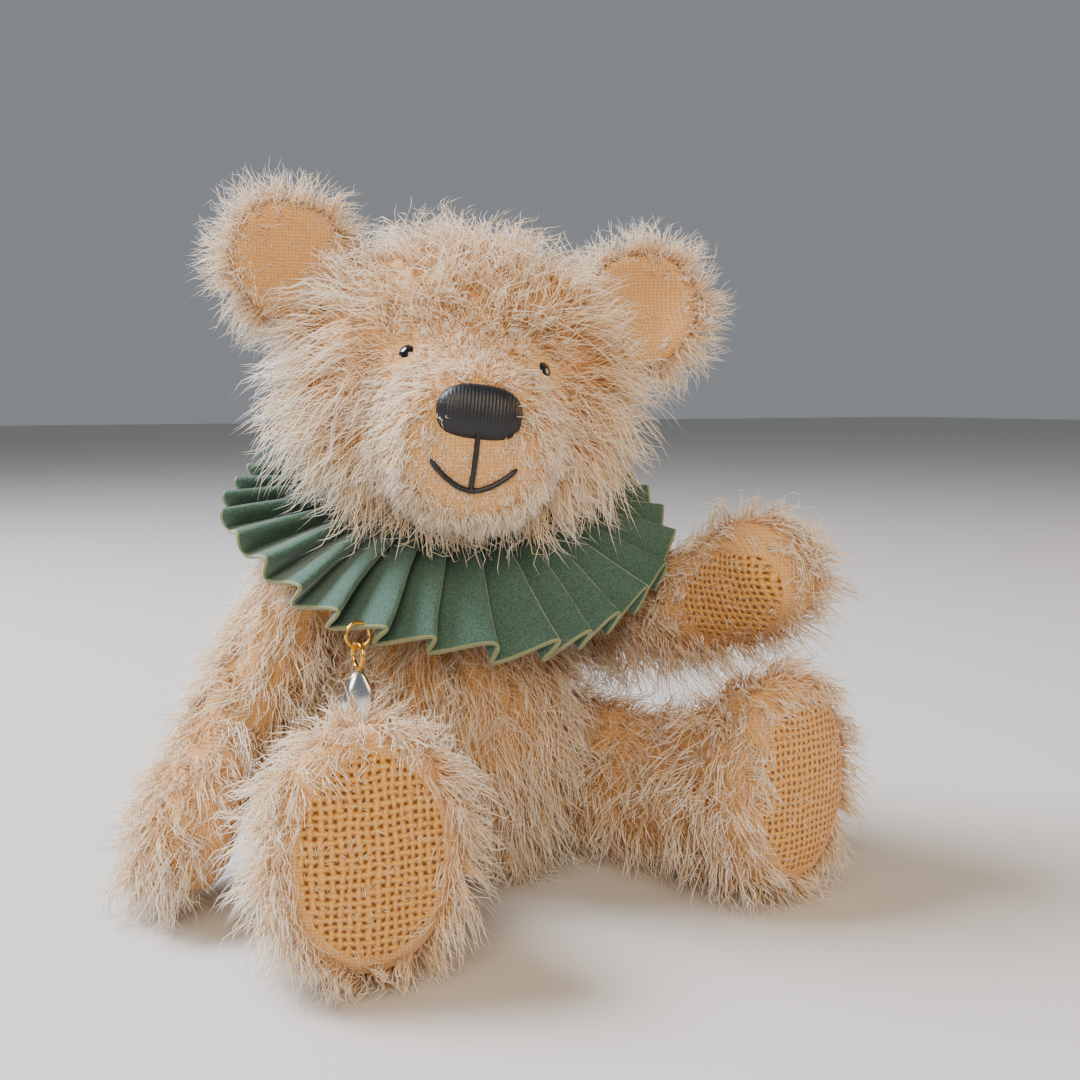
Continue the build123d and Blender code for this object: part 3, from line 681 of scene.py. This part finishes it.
made, tree, shader = material("green velvet ribbon", Roughness=0.85, Specular_IOR_Level=0.15, Sheen_Weight=0.75,
                              Sheen_Roughness=0.35, Sheen_Tint=hex_colour("D5E4DC"))
place = add(tree, "ShaderNodeSeparateXYZ", {0: add(tree, "ShaderNodeUVMap", {}, uv_map="OFBake").outputs[0]})
pile = add(tree, "ShaderNodeTexNoise", {"Vector": add(tree, "ShaderNodeTexCoord", {}).outputs["Object"],
                                        "Scale": 4500.0, "Detail": 2.0}).outputs["Fac"]
velvet = ramp(tree, pile, (0.35, "3A5045"), (0.65, "506C5D"))
edge = calc(tree, "MULTIPLY", calc(tree, "GREATER_THAN", place.outputs[1], 0.985), 0.5)
mixed = add(tree, "ShaderNodeMixRGB", {"Fac": edge, "Color1": velvet, "Color2": hex_colour("A9A774")})
tree.links.new(mixed.outputs[0], shader.inputs["Base Color"])
bump(tree, shader, pile, 0.06)
VELVET = made
PLEATS = 30
# Places round the ruff, twenty to a pleat, and across the ribbon
turns, depths = PLEATS * 20, 30
angle = np.linspace(0, 2 * np.pi, turns, endpoint=False)[None]
reach = np.linspace(0, 1, depths)[:, None]
uneven = np.random.default_rng(7)
lift = np.interp(angle, np.linspace(0, 2 * np.pi, PLEATS + 1), uneven.uniform(0.75, 1.2, PLEATS + 1))
fold = PLEATS * angle + 1.1 * np.sin(2 * angle + 1) + 0.7 * np.sin(5 * angle)
wave = np.cos(fold)
lapped = angle + (2.1 / PLEATS) * lift * wave + (0.5 / PLEATS) * reach * np.sin(4.5 * reach + 9 * lift)
radius = (RUFF_INNER + RUFF_WIDTH * reach + 0.5 * reach * (lift - 1) * 4 * np.cos(0.5 * fold) ** 2
          + 0.6 * reach * np.sin(fold + 1) + 0.5 * reach * np.sin(7 * angle))
side_x = unit(np.array([1.0, 0, 0]) - NECK_WAY * NECK_WAY[0])
side_y = np.cross(NECK_WAY, side_x)
from_front = (lapped + np.pi / 2 + np.pi) % (2 * np.pi) - np.pi
forward = np.exp(-(from_front / math.radians(48)) ** 2)
rise = (0.7 - RUFF_FALL * reach + (0.95 + 0.75 * reach) * lift * (wave + 0.25 * reach)
        + 0.5 * reach ** 2 * np.sin(4 * angle + 2)) - 5.0 * forward * reach ** 1.5
cloth = (NECK + radius[..., None] * (np.cos(lapped)[..., None] * side_x + np.sin(lapped)[..., None] * side_y)
         + rise[..., None] * NECK_WAY)
normal = unit(np.cross(np.roll(cloth, -1, 1) - np.roll(cloth, 1, 1), np.gradient(cloth, axis=0)))
loop = np.concatenate([cloth + 0.25 * normal, (cloth - 0.25 * normal)[::-1]])
faces = between_rings(len(loop), turns, closed=True)
strip = np.concatenate([reach[:, 0], reach[::-1, 0]])
tall = strip[faces // turns]
wide = (faces % turns) / turns
wide = np.where((wide < 0.01) & (wide.max(1, keepdims=True) > 0.9), 1.0, wide)
ruff = mesh_piece("ruff_pleats", loop.reshape(-1, 3), faces, "torso", VELVET,
                  np.stack([wide, tall], -1).reshape(-1, 2))
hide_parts("ruff")

# --- Small hard parts ----------------------------------------------------------------------
# The joint discs, washers and pins inside, the stuffing, the threads, and the charm on its rings.

FINISHES = {
    # Compressed wood-fibre board of the joint discs, matt brown.
    "hardboard": material("brown hardboard", Base_Color=hex_colour("6F4A2C"), Roughness=0.85)[0],
    # Mild steel of the pins and washers.
    "steel": material("mild steel", Base_Color=hex_colour("9A9C9E"), Metallic=1.0, Roughness=0.35)[0],
    # Teased polyester fibre stuffing.
    "stuffing": material("teased polyester stuffing", Base_Color=hex_colour("E8DCC4"), Roughness=0.95)[0],
    # Golden sewing thread that closes the back seam.
    "sewing": material("golden sewing thread", Base_Color=hex_colour("C79A5A"), Roughness=0.7)[0],
    # Dark green thread of the gathering.
    "gathering": material("dark green thread", Base_Color=hex_colour("2A3B31"), Roughness=0.7)[0],
    # Gold wire of the rings.
    "gold": material("gold wire", Base_Color=hex_colour("D9A94A"), Metallic=1.0, Roughness=0.2)[0],
    # Cast silver of the charm.
    "silver": material("cast silver", Base_Color=hex_colour("D8DADC"), Metallic=1.0, Roughness=0.15)[0],
}
CHARM_PLACE = np.array([-21.0, -19.0, 0.0])
# The charm is a smooth drop, fuller below.
level = np.linspace(0.03, np.pi - 0.03, 50)[:, None]
full = np.sin(level) * (1 + 0.25 * np.cos(level))
drop = np.stack([2.0 * full * np.cos(ROUND), 0.9 * full * np.sin(ROUND), -3.35 * np.cos(level) + 0 * ROUND], -1)
charm = tube("charm_silver_drop", drop + CHARM_PLACE + (0, 0, 27.2), "charm", FINISHES["silver"])
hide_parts("charm_drop")
# A gold link that stands across the charm's own ring, passes under the top of its wire and through the ruff's edge.
LINK_RADIUS, WIRE_RADIUS = 1.5, 0.22
swing = np.linspace(0, 2 * np.pi, 64, endpoint=False)
small = np.linspace(0, 2 * np.pi, 20, endpoint=False)[:, None]
away = LINK_RADIUS + WIRE_RADIUS * np.cos(small)
link = np.stack([away * np.cos(swing), WIRE_RADIUS * np.sin(small) + 0 * swing, away * np.sin(swing)], -1)
link_faces = np.roll(between_rings(*link.shape[:2], closed=True)[:, ::-1], 1, 1)
link_piece = mesh_piece("charm_clasp_link", link.reshape(-1, 3) + CHARM_PLACE + (0, 0, 34.85), link_faces,
                        "torso", FINISHES["gold"])
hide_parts("charm_clasp")
# The nodes that still show, by a part of their names; the rest of them are the joints' steel.
NODE_FINISHES = {"stuffing": "stuffing", "_disc": "hardboard", "closing_stitches": "sewing",
                 "gathering_thread": "gathering", "charm_ring": "gold"}
for node, obj in NODES.items():
    if obj.hide_render:
        continue
    finish = next((finish for part, finish in NODE_FINISHES.items() if part in node), "steel")
    obj.data.materials.clear()
    obj.data.materials.append(FINISHES[finish])
    obj.data.polygons.foreach_set("use_smooth", np.ones(len(obj.data.polygons), bool))

# --- Floor, light and camera ---------------------------------------------------------------
# A pale floor, a cool soft key from behind on the left, and a weak warm fill from the right.

sizes = {"cad": [list(cad_low), list(cad_high)], "final": [list(corner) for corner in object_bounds()]}

floor_mesh = bpy.data.meshes.new("floor")
floor_mesh.from_pydata([(-3, -3, 0), (3, -3, 0), (3, 3, 0), (-3, 3, 0)], [], [(0, 1, 2, 3)])
# Matt pale paper of the studio sweep.
floor_mesh.materials.append(material("pale studio paper", Base_Color=hex_colour("CFCBC4"), Roughness=0.9)[0])
floor = bpy.data.objects.new("floor", floor_mesh)
bpy.context.scene.collection.objects.link(floor)

for name, place, size, power, colour in (
    ("key", (-0.35, 0.25, 0.55), 0.35, 12.0, "E6EEFF"), ("front", (-0.35, -0.6, 0.45), 0.5, 5.5, "FFEBD2"),
    ("fill", (0.6, -0.3, 0.25), 0.4, 2.2, "FFD0A0"),
):
    lamp = bpy.data.lights.new(name, "AREA")
    lamp.shape, lamp.size, lamp.energy, lamp.color = "DISK", size, power, hex_colour(colour)[:3]
    light = bpy.data.objects.new(name, lamp)
    light.location = place
    light.rotation_euler = (Vector((0, -0.01, 0.04)) - Vector(place)).to_track_quat("-Z", "Y").to_euler()
    bpy.context.scene.collection.objects.link(light)
world = bpy.data.worlds.new("studio")
world.use_nodes = True
background = next(node for node in world.node_tree.nodes if node.type == "BACKGROUND")
background.inputs["Color"].default_value = hex_colour("DDE3EA")
background.inputs["Strength"].default_value = 0.32
bpy.context.scene.world = world

camera = bpy.data.objects.new("camera", bpy.data.cameras.new("camera"))
camera.data.lens, camera.data.sensor_width = 48.33, 36
camera.data.clip_start, camera.data.clip_end = 0.01, 20
camera.location = Vector((-86.9, -176.1, 63)) * MM
down = math.radians(5.7)
aim = Vector((0.5 * math.cos(down), 0.866 * math.cos(down), -math.sin(down)))
camera.rotation_euler = aim.to_track_quat("-Z", "Y").to_euler()
bpy.context.scene.collection.objects.link(camera)
bpy.context.scene.camera = camera
